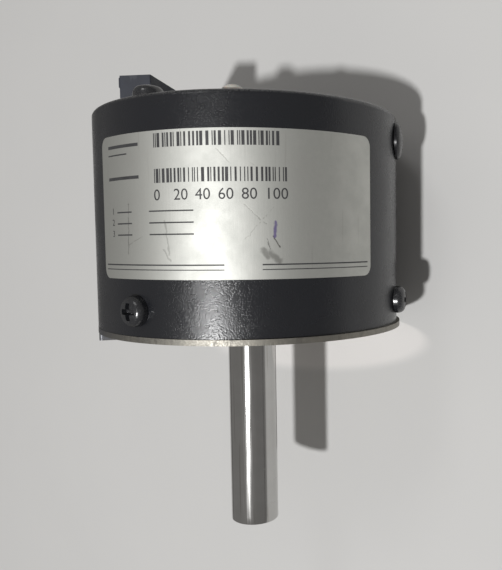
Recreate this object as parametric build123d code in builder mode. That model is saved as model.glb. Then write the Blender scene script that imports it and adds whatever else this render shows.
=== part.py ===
from build123d import *
import math
import os

# Capacitance diaphragm gauge, an absolute-pressure transducer with a tube port.
# Millimetres. The origin is the centre of the port tube's open end, +Z runs up the
# tube's axis to the terminals. Angles are anticlockwise from +X, seen from above.

# Port tube and base plate
tube_diameter = 12.7
tube_wall = 0.9
tube_free_length = 53.2
tube_edge = 0.2
spigot_step = 0.35
plate_overhang = 0.4
plate_shift = 0.4
plate_thickness = 1.3
lug_angle = -155.0
lug_length = 5.2
lug_width = 3.6
lug_drop = 2.2
lug_inset = 0.5

# Cover, label and plugs
cover_radius = 39.0
cover_height = 52.8
cover_wall = 1.0
cover_edge = 1.2
label_angle = -82.6
label_width = 70.4
label_height = 31.8
label_rise = 12.8
label_thickness = 0.15
label_corner = 2.3
side_plug_angle = -2.5
side_plug_rise = 46.2
side_plug_flange = 9.3
side_plug_hole = 8.0
side_plug_dome = 1.9
side_plug_depth = 4.5
top_plug_angle = -81.7
top_plug_inset = 6.2
top_plug_flange = 5.0
top_plug_hole = 3.2
top_plug_dome = 2.0
plug_wall = 0.9
plug_barb = 0.25

# Screws, nut, posts and standoffs
first_screw_angle = -116.0
side_screw_spacing = 110.0
side_screw_count = 3
side_screw_rise = 5.75
thread_diameter = 3.4
pan_diameter = 6.9
pan_height = 2.9
recess_width = 1.3
recess_length = 4.0
recess_depth = 1.4
side_screw_length = 4.0
top_screw_length = 7.5
board_screw_length = 5.0
base_thread_diameter = 2.9
base_head_diameter = 5.2
base_screw_length = 4.2
post_across_flats = 7.4
standoff_across_flats = 6.4
stud_length = 5.0
nut_across_flats = 6.4
nut_height = 2.4

# Pressure sensor
sensor_radius = 27.0
body_height = 8.0
body_floor = 3.0
body_wall = 4.5
baffle_radius = 9.0
baffle_thickness = 0.5
baffle_lift = 1.5
baffle_leg_count = 4
baffle_leg_width = 2.0
diaphragm_thickness = 0.15
ring_height = 6.0
ring_wall = 2.5
ledge_height = 0.6
ledge_width = 2.5
spacer_thickness = 0.2
disc_thickness = 4.0
electrode_gap = 0.2
electrode_thickness = 0.1
inner_electrode_radius = 9.0
electrode_track = 2.0
outer_electrode_width = 6.5
spring_thickness = 0.4
spring_width = 4.0
cap_thickness = 1.5
cap_rib_radius = 21.0
cap_rib_height = 0.8
cap_rib_width = 2.0
eyelet_radius = 2.2
eyelet_wall = 0.5
eyelet_height = 3.0
glass_recess = 0.5
pin_radius = 0.45
pin_stub = 1.2
pinch_angle = -120.0
pinch_distance = 15.0
pinch_radius = 2.0
pinch_wall = 0.6
pinch_tube_height = 4.0
pinch_taper_height = 4.0
pinch_flat = 0.8
getter_angle = 120.0
getter_distance = 14.0
getter_can_radius = 5.5
getter_can_height = 6.5
getter_can_wall = 0.5
getter_flange = 1.4
getter_pellet_radius = 3.6
getter_pellet_height = 2.5

# Circuit boards and what they carry
board_thickness = 1.6
lower_board_height = 25.5
board_margin = 0.8
cover_to_board = 0.8
header_inset = 12.8
header_offset = 3.0
header_ways = 5
header_pitch = 5.08
header_end = 1.5
header_width = 8.2
header_height = 12.0
header_wall = 0.95
header_floor = 2.6
header_rib = 0.5
header_rib_height = 3.2
header_key_width = 1.6
header_key_depth = 6.0
header_pin = 1.0
header_pin_tip_depth = 4.6
header_tail = 2.8
link_pin_count = 6
link_pitch = 2.54
link_pin = 0.64
link_strip_height = 2.5
link_distance = 19.0
link_offset = 12.0
trimmer_width = 9.5
trimmer_depth = 4.8
trimmer_height = 7.4
trimmer_screw_radius = 1.1
trimmer_screw_length = 0.9
trimmer_slot = 0.5
capacitor_radius = 4.0
capacitor_height = 11.5
capacitor_spacing = 10.0
capacitor_offset = 13.0
chip_length = 10.0
chip_width = 6.4
chip_height = 3.4
chip_lead = 0.5
chip_spacing = 13.0
chip_distance = 16.0
chip_offset = 12.0
core_radius = 7.0
core_height = 8.0
core_window = 3.5
core_window_depth = 1.6
core_distance = 19.0
core_angle = 180.0
regulator_width = 10.0
regulator_depth = 4.5
regulator_height = 9.0
regulator_tab = 1.3
regulator_tab_height = 6.0
regulator_hole = 3.6
regulator_spacing = 14.0
regulator_offset = 9.0

# Fits
slip = 0.25
close_fit = 0.05
wall_gap = 0.3

# Heights and radii that follow from the sizes above
tube_radius = tube_diameter / 2
plate_radius = cover_radius + plate_overhang
tube_bore = tube_radius - tube_wall
spigot_radius = tube_radius - spigot_step
plate_bottom = tube_free_length
plate_top = plate_bottom + plate_thickness
cover_top = plate_top + cover_height
cover_ceiling = cover_top - cover_wall
cover_bore = cover_radius - cover_wall
post_reach = cover_bore - wall_gap - post_across_flats / 2
top_plug_reach = cover_radius - top_plug_inset
side_screw_height = plate_top + side_screw_rise
side_plug_height = plate_top + side_plug_rise
body_top = plate_top + body_height
cavity_floor = plate_top + body_floor
ring_bottom = body_top + diaphragm_thickness
ring_top = ring_bottom + ring_height
ring_bore = sensor_radius - ring_wall
ledge_bore = ring_bore - ledge_width
disc_rim = ring_bottom + ledge_height + spacer_thickness
disc_top = disc_rim + disc_thickness
land_radius = ledge_bore - 2 * slip
land_bottom = ring_bottom + electrode_gap + electrode_thickness
track_start = inner_electrode_radius + electrode_track
track_end = track_start + outer_electrode_width
cap_top = ring_top + cap_thickness
lower_board_bottom = plate_top + lower_board_height
lower_board_top = lower_board_bottom + board_thickness
upper_board_top = cover_ceiling - cover_to_board
upper_board_bottom = upper_board_top - board_thickness
board_radius = cover_bore - board_margin
header_x = header_inset - cover_radius
header_length = header_ways * header_pitch + 2 * header_end
opposite_angle = first_screw_angle + 180
feedthroughs = [(0, 0), (track_start + outer_electrode_width / 2, 0)]


def polar(reach, angle):
    """The point at this distance and angle from the gauge's axis."""
    turn = math.radians(angle)
    return (reach * math.cos(turn), reach * math.sin(turn))


def at_posts():
    """The places of the three posts, round the gauge's axis."""
    return PolarLocations(post_reach, side_screw_count, first_screw_angle,
                          side_screw_count * side_screw_spacing)


def at_standoffs():
    """The places of the two standoffs: over the first post and across from it."""
    return PolarLocations(post_reach, 2, first_screw_angle)


def wall_seat(angle, height, reach=cover_radius):
    """A plane on an upright wall, facing out from the gauge's axis."""
    x, y = polar(reach, angle)
    return Plane(origin=(x, y, height), x_dir=(-y, x, 0), z_dir=(x, y, 0))


def pan_screw(length):
    """A cross-recess pan-head screw: its seat is at the origin, its head points up."""
    with BuildPart() as screw:
        with BuildSketch(Plane.XZ):
            with BuildLine():
                Polyline((0, pan_height), (0, -length), (thread_diameter / 2, -length),
                         (thread_diameter / 2, 0), (pan_diameter / 2, 0),
                         (pan_diameter / 2, pan_height * 0.35))
                ThreePointArc((pan_diameter / 2, pan_height * 0.35),
                              (pan_diameter * 0.467, pan_height * 0.62),
                              (pan_diameter * 0.37, pan_height * 0.84))
                TangentArc((0, pan_height), (pan_diameter * 0.37, pan_height * 0.84), tangent=(1, 0))
            make_face()
        revolve(axis=Axis.Z)
        chamfer(screw.edges().group_by(Axis.Z)[0], thread_diameter * 0.12)
        with BuildSketch(Plane.XY.offset(pan_height)):
            Rectangle(recess_length, recess_width)
            Rectangle(recess_width, recess_length)
        extrude(amount=-recess_depth, taper=12, mode=Mode.SUBTRACT)
    return screw.part


def hex_post(bottom, top, across_flats):
    """A hexagon post along Z with tapped ends, centred on the origin."""
    with BuildPart() as post:
        with BuildSketch(Plane.XY.offset(bottom)):
            RegularPolygon(across_flats / 2, 6, major_radius=False, rotation=30)
        extrude(amount=top - bottom)
        chamfer(post.faces().filter_by(Axis.Z).edges(), across_flats * 0.05)
    return post.part


def domed_plug(flange, hole, dome, depth, barb_start):
    """A push-in hole plug: its seat is at the origin, its dome points up."""
    stem = hole / 2 - close_fit
    edge = dome * 0.3
    with BuildPart() as plug:
        with BuildSketch(Plane.XZ):
            with BuildLine():
                Polyline((0, dome), (0, -plug_wall), (stem - plug_wall, -plug_wall),
                         (stem - plug_wall, -depth), (stem, -depth),
                         (stem + plug_barb, -barb_start), (stem, -barb_start), (stem, 0),
                         (flange / 2, 0), (flange / 2, edge))
                ThreePointArc((flange / 2, edge), (flange * 0.46, dome * 0.52),
                              (flange * 0.36, dome * 0.74))
                TangentArc((0, dome), (flange * 0.36, dome * 0.74), tangent=(1, 0))
            make_face()
        revolve(axis=Axis.Z)
    return plug.part


# Port tube: drawn stainless tube, cut square, its outer edge just broken; its upper end is
# turned down to a spigot, and the step seats against the base plate
with BuildPart() as port_tube:
    with BuildSketch():
        Circle(tube_radius)
    extrude(amount=plate_bottom)
    with BuildSketch(Plane.XY.offset(plate_bottom)):
        Circle(spigot_radius)
    extrude(amount=cavity_floor - plate_bottom)
    with BuildSketch():
        Circle(tube_bore)
    extrude(amount=cavity_floor, mode=Mode.SUBTRACT)
    fillet(port_tube.edges().group_by(Axis.Z)[0].sort_by(SortBy.RADIUS)[-1], tube_edge)

# Base plate: a stainless disc, sheared a little off-centre, with a lug at its rim and
# countersunk holes for the posts
with BuildPart() as base_plate:
    with BuildSketch(Plane.XY.offset(plate_bottom)):
        with Locations((plate_shift, 0)):
            Circle(plate_radius)
        Circle(spigot_radius + close_fit, mode=Mode.SUBTRACT)
    extrude(amount=plate_thickness)
    with BuildSketch(Plane.XY.offset(plate_bottom)):
        with PolarLocations(plate_radius - lug_inset - lug_length / 2, 1, lug_angle):
            RectangleRounded(lug_length, lug_width, lug_width * 0.2)
    extrude(amount=-lug_drop)
    with Locations(Plane.XY.offset(plate_bottom)):
        with at_posts():
            Hole(base_thread_diameter / 2 + close_fit)
    with BuildSketch(Plane.XY.offset(plate_bottom)):
        with at_posts():
            Circle(base_head_diameter / 2 + close_fit)
    head_cone = (base_head_diameter - base_thread_diameter) / 2
    extrude(amount=head_cone, taper=45, mode=Mode.SUBTRACT)

# Base screws: countersunk, flush with the plate's underside
with BuildPart() as base_screw:
    with BuildSketch(Plane.XZ):
        with BuildLine():
            Polyline((0, 0), (base_head_diameter / 2, 0), (base_thread_diameter / 2, head_cone),
                     (base_thread_diameter / 2, base_screw_length), (0, base_screw_length), close=True)
        make_face()
    revolve(axis=Axis.Z)
    with BuildSketch():
        Rectangle(recess_length * 0.6, recess_width * 0.6)
        Rectangle(recess_width * 0.6, recess_length * 0.6)
    extrude(amount=head_cone * 0.7, taper=12, mode=Mode.SUBTRACT)
with BuildPart() as base_screws:
    with Locations(Location((0, 0, plate_bottom))):
        with at_posts():
            add(base_screw.part)

# Posts: hexagon bar tapped at both ends and cross-tapped for the cover's side screws
post_blank = hex_post(plate_top, lower_board_bottom, post_across_flats)
with BuildPart() as posts:
    with at_posts():
        add(post_blank)
    with Locations(Location((0, 0, plate_top))):
        with at_posts():
            Cylinder(base_thread_diameter / 2 + close_fit, base_screw_length, mode=Mode.SUBTRACT,
                     align=(Align.CENTER, Align.CENTER, Align.MIN))
    with Locations(Location((0, 0, lower_board_bottom))):
        with at_posts():
            Cylinder(thread_diameter / 2 + close_fit, stud_length + slip, mode=Mode.SUBTRACT,
                     align=(Align.CENTER, Align.CENTER, Align.MAX))
    for turn in range(side_screw_count):
        with Locations(wall_seat(first_screw_angle + turn * side_screw_spacing, side_screw_height)):
            Cylinder(thread_diameter / 2 + close_fit, side_screw_length + slip, mode=Mode.SUBTRACT,
                     align=(Align.CENTER, Align.CENTER, Align.MAX))

# Sensor body: a turned dish that takes the port tube and carries the diaphragm
with BuildPart() as sensor_body:
    with BuildSketch(Plane.XZ):
        with BuildLine():
            Polyline((spigot_radius + close_fit, plate_top), (sensor_radius, plate_top),
                     (sensor_radius, body_top), (sensor_radius - body_wall, body_top),
                     (sensor_radius - body_wall, cavity_floor), (spigot_radius + close_fit, cavity_floor),
                     close=True)
        make_face()
    revolve(axis=Axis.Z)
    chamfer(sensor_body.edges().filter_by(GeomType.CIRCLE).filter_by_position(
        Axis.Z, cavity_floor, cavity_floor).sort_by(SortBy.RADIUS)[-1], body_wall * 0.3)

# Port baffle: a pressed disc on legs that keeps dirt and vapour off the diaphragm
with BuildPart() as port_baffle:
    baffle_bottom = cavity_floor + baffle_lift
    with BuildSketch(Plane.XY.offset(baffle_bottom)):
        Circle(baffle_radius)
    extrude(amount=baffle_thickness)
    with BuildSketch(Plane.XY.offset(cavity_floor)):
        with PolarLocations(baffle_radius - baffle_thickness / 2, baffle_leg_count, 45):
            Rectangle(baffle_thickness, baffle_leg_width)
    extrude(amount=baffle_lift)

# Diaphragm: the tensioned metal foil that the pressure bends
with BuildPart() as diaphragm:
    with BuildSketch(Plane.XY.offset(body_top)):
        Circle(sensor_radius)
    extrude(amount=diaphragm_thickness)

# Reference ring: welded over the diaphragm, with the ledge that the electrode disc stands on
with BuildPart() as reference_ring:
    with BuildSketch(Plane.XZ):
        with BuildLine():
            ledge_top = ring_bottom + ledge_height
            Polyline((ledge_bore, ring_bottom), (sensor_radius, ring_bottom), (sensor_radius, ring_top),
                     (ring_bore, ring_top), (ring_bore, ledge_top), (ledge_bore, ledge_top), close=True)
        make_face()
    revolve(axis=Axis.Z)

# Electrode spacer: the thin ring that sets the gap
with BuildPart() as electrode_spacer:
    with BuildSketch(Plane.XY.offset(ledge_top)):
        Circle(ring_bore - slip)
        Circle(ledge_bore, mode=Mode.SUBTRACT)
    extrude(amount=spacer_thickness)

# Electrode disc: fired ceramic with a raised land and a hole for each contact pin
with BuildPart() as electrode_disc:
    with BuildSketch(Plane.XY.offset(disc_rim)):
        Circle(ring_bore - slip)
    extrude(amount=disc_thickness)
    with BuildSketch(Plane.XY.offset(land_bottom)):
        Circle(land_radius)
    extrude(amount=disc_rim - land_bottom)
    with Locations(Location((0, 0, disc_top))):
        with Locations(feedthroughs):
            Hole(pin_radius + slip)

# Electrodes: the fired metal disc and ring under the ceramic
with BuildPart() as electrodes:
    with BuildSketch(Plane.XY.offset(land_bottom)):
        Circle(track_end)
        Circle(track_start, mode=Mode.SUBTRACT)
        Circle(inner_electrode_radius)
    extrude(amount=-electrode_thickness)

# Disc spring: a coned ring that holds the ceramic down on its spacer
with BuildPart() as disc_spring:
    with BuildSketch(Plane.XZ):
        with BuildLine():
            spring_outer = ring_bore - slip
            spring_inner = spring_outer - spring_width
            Polyline((spring_outer, disc_top), (spring_outer, disc_top + spring_thickness),
                     (spring_inner, ring_top), (spring_inner, ring_top - spring_thickness), close=True)
        make_face()
    revolve(axis=Axis.Z)

# Sensor cap: closes the evacuated reference side and carries the feedthroughs
with BuildPart() as sensor_cap:
    with BuildSketch(Plane.XY.offset(ring_top)):
        Circle(sensor_radius)
    extrude(amount=cap_thickness)
    with BuildSketch(Plane.XY.offset(cap_top)):
        Circle(cap_rib_radius + cap_rib_width)
        Circle(cap_rib_radius, mode=Mode.SUBTRACT)
    extrude(amount=cap_rib_height)
    with Locations(Location((0, 0, cap_top))):
        with Locations(feedthroughs):
            Hole(eyelet_radius + close_fit)
        with Locations(polar(pinch_distance, pinch_angle)):
            Hole(pinch_radius + close_fit)
        with Locations(polar(getter_distance, getter_angle)):
            Hole(getter_pellet_radius)

# Feedthrough eyelets, glass seals and pins
with BuildPart() as feedthrough_eyelets:
    with BuildSketch(Plane.XY.offset(ring_top)):
        with Locations(feedthroughs):
            Circle(eyelet_radius)
            Circle(eyelet_radius - eyelet_wall, mode=Mode.SUBTRACT)
    extrude(amount=eyelet_height)
with BuildPart() as glass_seals:
    with BuildSketch(Plane.XY.offset(ring_top + glass_recess)):
        with Locations(feedthroughs):
            Circle(eyelet_radius - eyelet_wall)
            Circle(pin_radius, mode=Mode.SUBTRACT)
    extrude(amount=eyelet_height - 2 * glass_recess)
with BuildPart() as contact_pins:
    with BuildSketch(Plane.XY.offset(land_bottom)):
        with Locations(feedthroughs):
            Circle(pin_radius)
    extrude(amount=lower_board_top + pin_stub - land_bottom)

# Pinch-off tube: copper, squeezed flat after the reference side was pumped out
with BuildPart() as pinch_off_tube:
    pinch_x, pinch_y = polar(pinch_distance, pinch_angle)
    with BuildSketch(Plane(origin=(pinch_x, pinch_y, ring_top))):
        Circle(pinch_radius)
        Circle(pinch_radius - pinch_wall, mode=Mode.SUBTRACT)
    extrude(amount=cap_thickness + pinch_tube_height)
    pinch_start = cap_top + pinch_tube_height
    with BuildSketch(Plane(origin=(pinch_x, pinch_y, pinch_start))):
        Circle(pinch_radius)
    with BuildSketch(Plane(origin=(pinch_x, pinch_y, pinch_start + pinch_taper_height))):
        Ellipse(pinch_radius * 1.4, pinch_flat / 2)
    loft()

# Getter can and pellet: keep the reference side's vacuum
with BuildPart() as getter_can:
    getter_x, getter_y = polar(getter_distance, getter_angle)
    with BuildSketch(Plane(origin=(getter_x, getter_y, cap_top))):
        Circle(getter_can_radius + getter_flange)
        Circle(getter_can_radius - getter_can_wall, mode=Mode.SUBTRACT)
    extrude(amount=getter_can_wall)
    with BuildSketch(Plane(origin=(getter_x, getter_y, cap_top))):
        Circle(getter_can_radius)
    extrude(amount=getter_can_height)
    chamfer(getter_can.edges().group_by(Axis.Z)[-1], getter_can_wall * 0.6)
    with BuildSketch(Plane(origin=(getter_x, getter_y, cap_top))):
        Circle(getter_can_radius - getter_can_wall)
    extrude(amount=getter_can_height - getter_can_wall, mode=Mode.SUBTRACT)
with BuildPart() as getter_pellet:
    pellet_top = cap_top + getter_can_height - getter_can_wall
    with BuildSketch(Plane(origin=(getter_x, getter_y, pellet_top))):
        Circle(getter_pellet_radius)
    extrude(amount=-getter_pellet_height)

# Lower board: takes the sensor's pins and stands on the three posts
with BuildPart() as lower_board:
    with BuildSketch(Plane.XY.offset(lower_board_bottom)):
        Circle(board_radius)
    extrude(amount=board_thickness)
    with Locations(Location((0, 0, lower_board_top))):
        with at_posts():
            Hole(thread_diameter / 2 + slip)
        with Locations(polar(post_reach, opposite_angle)):
            Hole(thread_diameter / 2 + slip)
        with Locations(feedthroughs):
            Hole(pin_radius + slip)
        with Locations((link_distance, -link_offset)):
            with GridLocations(0, link_pitch, 1, link_pin_count):
                Hole(link_pin / 2 + slip)

# Board screws: hold the lower board to the two posts that carry no standoff
with BuildPart() as board_screws:
    for turn in range(1, side_screw_count):
        x, y = polar(post_reach, first_screw_angle + turn * side_screw_spacing)
        with Locations(Location((x, y, lower_board_top))):
            add(pan_screw(board_screw_length))

# Standoffs: carry the upper board, one on the first post and one on a nut across from it
standoff_blank = hex_post(lower_board_top, upper_board_bottom, standoff_across_flats)
with BuildPart() as standoffs:
    with at_standoffs():
        add(standoff_blank)
    with Locations(Location((0, 0, lower_board_top))):
        with at_standoffs():
            Cylinder(thread_diameter / 2, stud_length, align=(Align.CENTER, Align.CENTER, Align.MAX))
    with Locations(Location((0, 0, upper_board_bottom))):
        with at_standoffs():
            Cylinder(thread_diameter / 2 + close_fit, top_screw_length, mode=Mode.SUBTRACT,
                     align=(Align.CENTER, Align.CENTER, Align.MAX))
with BuildPart() as standoff_nut:
    x, y = polar(post_reach, opposite_angle)
    with BuildSketch(Plane(origin=(x, y, lower_board_bottom))):
        RegularPolygon(nut_across_flats / 2, 6, major_radius=False)
        Circle(thread_diameter / 2 + close_fit, mode=Mode.SUBTRACT)
    extrude(amount=-nut_height)

# Upper board: under the cover's top, cut straight where the side plug reaches in
with BuildPart() as upper_board:
    with BuildSketch(Plane.XY.offset(upper_board_bottom)):
        Circle(board_radius)
        flat_reach = cover_radius - side_plug_depth - board_margin
        with PolarLocations(flat_reach, 1, side_plug_angle):
            Rectangle(board_radius, 2 * board_radius, align=(Align.MIN, Align.CENTER), mode=Mode.SUBTRACT)
    extrude(amount=board_thickness)
    with Locations(Location((0, 0, upper_board_top))):
        with at_standoffs():
            Hole(thread_diameter / 2 + slip)
        with Locations((header_x, header_offset)):
            with GridLocations(0, header_pitch, 1, header_ways):
                Hole(header_pin * 0.75 + slip)
        with Locations((link_distance, -link_offset)):
            with GridLocations(0, link_pitch, 1, link_pin_count):
                Hole(link_pin / 2 + slip)
        with Locations(polar(top_plug_reach, top_plug_angle)):
            Hole(trimmer_screw_radius + slip)

# Board link: long square pins between the boards, held in a plastic strip at each
with BuildPart() as link_pins:
    with BuildSketch(Plane.XY.offset(lower_board_bottom - pin_stub)):
        with Locations((link_distance, -link_offset)):
            with GridLocations(0, link_pitch, 1, link_pin_count):
                Rectangle(link_pin, link_pin)
    extrude(amount=upper_board_top - lower_board_bottom + pin_stub)
with BuildPart() as link_strips:
    for strip_bottom in (lower_board_top, upper_board_bottom - link_strip_height):
        with BuildSketch(Plane.XY.offset(strip_bottom)):
            with Locations((link_distance, -link_offset)):
                Rectangle(link_pitch, link_pitch * link_pin_count)
                with GridLocations(0, link_pitch, 1, link_pin_count):
                    Rectangle(link_pin + 2 * close_fit, link_pin + 2 * close_fit, mode=Mode.SUBTRACT)
        extrude(amount=link_strip_height)

# Terminal header: a shrouded block with a keyed wall and a latch rib, open at its top
with BuildPart() as terminal_header:
    with BuildSketch(Plane.XY.offset(upper_board_top)):
        with Locations((header_x, header_offset)):
            Rectangle(header_width, header_length)
    extrude(amount=header_height)
    fillet(terminal_header.edges().filter_by(Axis.Z), header_wall * 0.3)
    header_top = upper_board_top + header_height
    with BuildSketch(Plane.XY.offset(header_top)):
        with Locations((header_x, header_offset)):
            Rectangle(header_width - 2 * header_wall, header_length - 2 * header_wall)
    extrude(amount=header_floor - header_height, mode=Mode.SUBTRACT)
    with BuildSketch(Plane.XY.offset(header_top)):
        with Locations((header_x + header_width / 2 - header_wall, header_offset)):
            with GridLocations(0, header_pitch, 1, header_ways):
                Rectangle(header_wall, header_key_width)
    extrude(amount=-header_key_depth, mode=Mode.SUBTRACT)
    with BuildSketch(Plane.XZ.offset(-header_offset)):
        with Locations((header_x - header_width / 2, header_top - header_rib_height / 2)):
            Trapezoid(header_rib_height, header_rib, 45, rotation=90, align=(Align.CENTER, Align.MIN))
    extrude(amount=header_length / 2 - header_end / 2, both=True)
    with Locations(Location((header_x, header_offset, upper_board_top + header_floor))):
        with GridLocations(0, header_pitch, 1, header_ways):
            Box(header_pin + 2 * close_fit, header_pin + 2 * close_fit, header_floor,
                align=(Align.CENTER, Align.CENTER, Align.MAX), mode=Mode.SUBTRACT)

# Terminal pins: square, tinned, through the block's floor and the board
with BuildPart() as terminal_pins:
    pin_bottom = upper_board_bottom - header_tail
    with BuildSketch(Plane.XY.offset(pin_bottom)):
        with Locations((header_x, header_offset)):
            with GridLocations(0, header_pitch, 1, header_ways):
                Rectangle(header_pin, header_pin)
    extrude(amount=header_top - header_pin_tip_depth - pin_bottom)
    chamfer(terminal_pins.faces().group_by(Axis.Z)[-1].edges(), header_pin * 0.25)

# Zero trimmer: hangs from the upper board and faces the side plug
with BuildPart() as zero_trimmer:
    trimmer_face = flat_reach - trimmer_screw_length
    with BuildSketch(wall_seat(side_plug_angle, upper_board_bottom, trimmer_face)):
        Rectangle(trimmer_width, trimmer_height, align=(Align.CENTER, Align.MAX))
    extrude(amount=-trimmer_depth)
    chamfer(zero_trimmer.edges(), trimmer_depth * 0.05)
    with BuildSketch(wall_seat(side_plug_angle, side_plug_height, trimmer_face)):
        Circle(trimmer_screw_radius)
        Rectangle(trimmer_screw_radius * 3, trimmer_slot, mode=Mode.SUBTRACT)
    extrude(amount=trimmer_screw_length)

# Span trimmer: under the upper board, its screw stands in the hole below the top plug
with BuildPart() as span_trimmer:
    with BuildSketch(Plane.XY.offset(upper_board_bottom)):
        with PolarLocations(top_plug_reach + trimmer_screw_radius * 2, 1, top_plug_angle):
            Rectangle(trimmer_width, trimmer_width, align=(Align.MAX, Align.CENTER))
    extrude(amount=-trimmer_depth)
    chamfer(span_trimmer.edges(), trimmer_depth * 0.05)
    with BuildSketch(Plane.XY.offset(upper_board_bottom)):
        with PolarLocations(top_plug_reach, 1, top_plug_angle):
            Circle(trimmer_screw_radius)
            Rectangle(trimmer_screw_radius * 3, trimmer_slot, mode=Mode.SUBTRACT)
    extrude(amount=board_thickness)

# Filter capacitors: crimped cans that hang from the upper board
with BuildPart() as capacitor:
    with BuildSketch(Plane.XZ):
        with BuildLine():
            crimp = capacitor_radius * 0.12
            low = capacitor_radius * 0.4
            Polyline((0, 0), (capacitor_radius, 0), (capacitor_radius, -low),
                     (capacitor_radius - crimp, -low - crimp), (capacitor_radius, -low - 2 * crimp),
                     (capacitor_radius, -capacitor_height), (0, -capacitor_height), close=True)
        make_face()
    revolve(axis=Axis.Z)
    chamfer(capacitor.edges().group_by(Axis.Z)[0], crimp)
with BuildPart() as capacitors:
    with Locations(Location((0, capacitor_offset, upper_board_bottom))):
        with GridLocations(capacitor_spacing, capacitor_spacing, 2, 2):
            add(capacitor.part)

# Regulators: tabbed power packages that hang from the upper board
with BuildPart() as regulator:
    with BuildSketch(Plane.XY):
        Rectangle(regulator_width, regulator_depth, align=(Align.CENTER, Align.MIN))
    extrude(amount=-regulator_height)
    chamfer(regulator.edges().filter_by(Axis.Z), regulator_depth * 0.08)
    with BuildSketch(Plane.XY.offset(-regulator_height)):
        Rectangle(regulator_width, regulator_tab, align=(Align.CENTER, Align.MIN))
    extrude(amount=-regulator_tab_height)
    with BuildSketch(Plane.XZ):
        with Locations((0, -regulator_height - regulator_tab_height / 2)):
            Circle(regulator_hole / 2)
    extrude(amount=-regulator_depth, mode=Mode.SUBTRACT)
with BuildPart() as regulators:
    with Locations(Location((0, -regulator_offset, upper_board_bottom))):
        with GridLocations(regulator_spacing, 0, 2, 1):
            add(regulator.part)

# Signal chips: dual in-line packages on the lower board
with BuildPart() as chip:
    with BuildSketch(Plane.XY.offset(chip_lead)):
        Rectangle(chip_width, chip_length)
    extrude(amount=chip_height)
    chamfer(chip.edges().filter_by(Axis.Y), chip_height * 0.12)
    with BuildSketch(Plane.XY):
        with GridLocations(chip_width + chip_lead, chip_length / 4, 2, 4):
            Rectangle(chip_lead, chip_lead)
    extrude(amount=chip_lead + chip_height / 2)
    with BuildSketch(Plane.XY.offset(chip_lead + chip_height)):
        with Locations((0, chip_length / 2)):
            Circle(chip_width * 0.15)
    extrude(amount=-chip_lead, mode=Mode.SUBTRACT)
with BuildPart() as signal_chips:
    with Locations(Location((chip_distance, chip_offset, lower_board_top))):
        with GridLocations(chip_spacing, chip_spacing, 2, 1):
            add(chip.part)

# Bridge transformer: a ferrite pot core on the lower board
with BuildPart() as bridge_transformer:
    core_x, core_y = polar(core_distance, core_angle)
    with BuildSketch(Plane(origin=(core_x, core_y, lower_board_top))):
        Circle(core_radius)
        Circle(core_radius * 0.15, mode=Mode.SUBTRACT)
    extrude(amount=core_height)
    top_edges = bridge_transformer.faces().sort_by(Axis.Z)[-1].edges()
    chamfer(top_edges.sort_by(SortBy.RADIUS)[-1], core_radius * 0.06)
    with BuildSketch(Plane(origin=(core_x, core_y, lower_board_top))):
        with GridLocations(0, 2 * core_radius, 1, 2):
            Rectangle(core_window, 2 * core_window_depth)
    extrude(amount=core_height, mode=Mode.SUBTRACT)

# Cover: a drawn can, open below, with holes for the screws, the plugs and the header
with BuildPart() as cover:
    with BuildSketch(Plane.XZ):
        with BuildLine():
            Polyline((0, cover_ceiling), (cover_bore, cover_ceiling), (cover_bore, plate_top),
                     (cover_radius, plate_top), (cover_radius, cover_top), (0, cover_top), close=True)
        make_face()
    revolve(axis=Axis.Z)
    rims = cover.edges().filter_by(GeomType.CIRCLE)
    fillet(rims.filter_by_position(Axis.Z, cover_top, cover_top), cover_edge)
    fillet(rims.filter_by_position(Axis.Z, cover_ceiling, cover_ceiling), cover_edge - cover_wall * 0.5)
    for turn in range(side_screw_count):
        with Locations(wall_seat(first_screw_angle + turn * side_screw_spacing, side_screw_height)):
            Hole(thread_diameter / 2 + slip, depth=2 * cover_wall)
    with Locations(wall_seat(side_plug_angle, side_plug_height)):
        Hole(side_plug_hole / 2, depth=2 * cover_wall)
    with Locations(Location((0, 0, cover_top))):
        with at_standoffs():
            Hole(thread_diameter / 2 + slip, depth=2 * cover_wall)
        with Locations(polar(top_plug_reach, top_plug_angle)):
            Hole(top_plug_hole / 2, depth=2 * cover_wall)
    with BuildSketch(Plane.XY.offset(cover_top)):
        with Locations((header_x, header_offset)):
            cut_margin = header_rib + wall_gap
            RectangleRounded(header_width + 2 * cut_margin, header_length + 2 * cut_margin, cut_margin)
    extrude(amount=-2 * cover_wall, mode=Mode.SUBTRACT)

# Board spacers: washers between the upper board and the cover's top
with BuildPart() as board_spacers:
    with BuildSketch(Plane.XY.offset(upper_board_top)):
        with at_standoffs():
            Circle(standoff_across_flats / 2)
            Circle(thread_diameter / 2 + slip, mode=Mode.SUBTRACT)
    extrude(amount=cover_to_board)

# Label: a thin foil plate, bent round the cover, with rounded corners
with BuildPart() as label:
    label_sweep = math.degrees(label_width / cover_radius)
    label_bottom = plate_top + label_rise
    with BuildSketch(Plane.XZ.rotated((0, 0, label_angle - label_sweep / 2))):
        with Locations((cover_radius + label_thickness / 2, label_bottom + label_height / 2)):
            Rectangle(label_thickness, label_height)
    revolve(axis=Axis.Z, revolution_arc=label_sweep)
    fillet(label.edges().filter_by(lambda edge: edge.length < 2 * label_thickness), label_corner)

# Cover screws: three in the side, two in the top
with BuildPart() as side_screws:
    for turn in range(side_screw_count):
        with Locations(wall_seat(first_screw_angle + turn * side_screw_spacing, side_screw_height)):
            add(pan_screw(side_screw_length))
with BuildPart() as top_screws:
    with Locations(Location((0, 0, cover_top))):
        with at_standoffs():
            add(pan_screw(top_screw_length))

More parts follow.
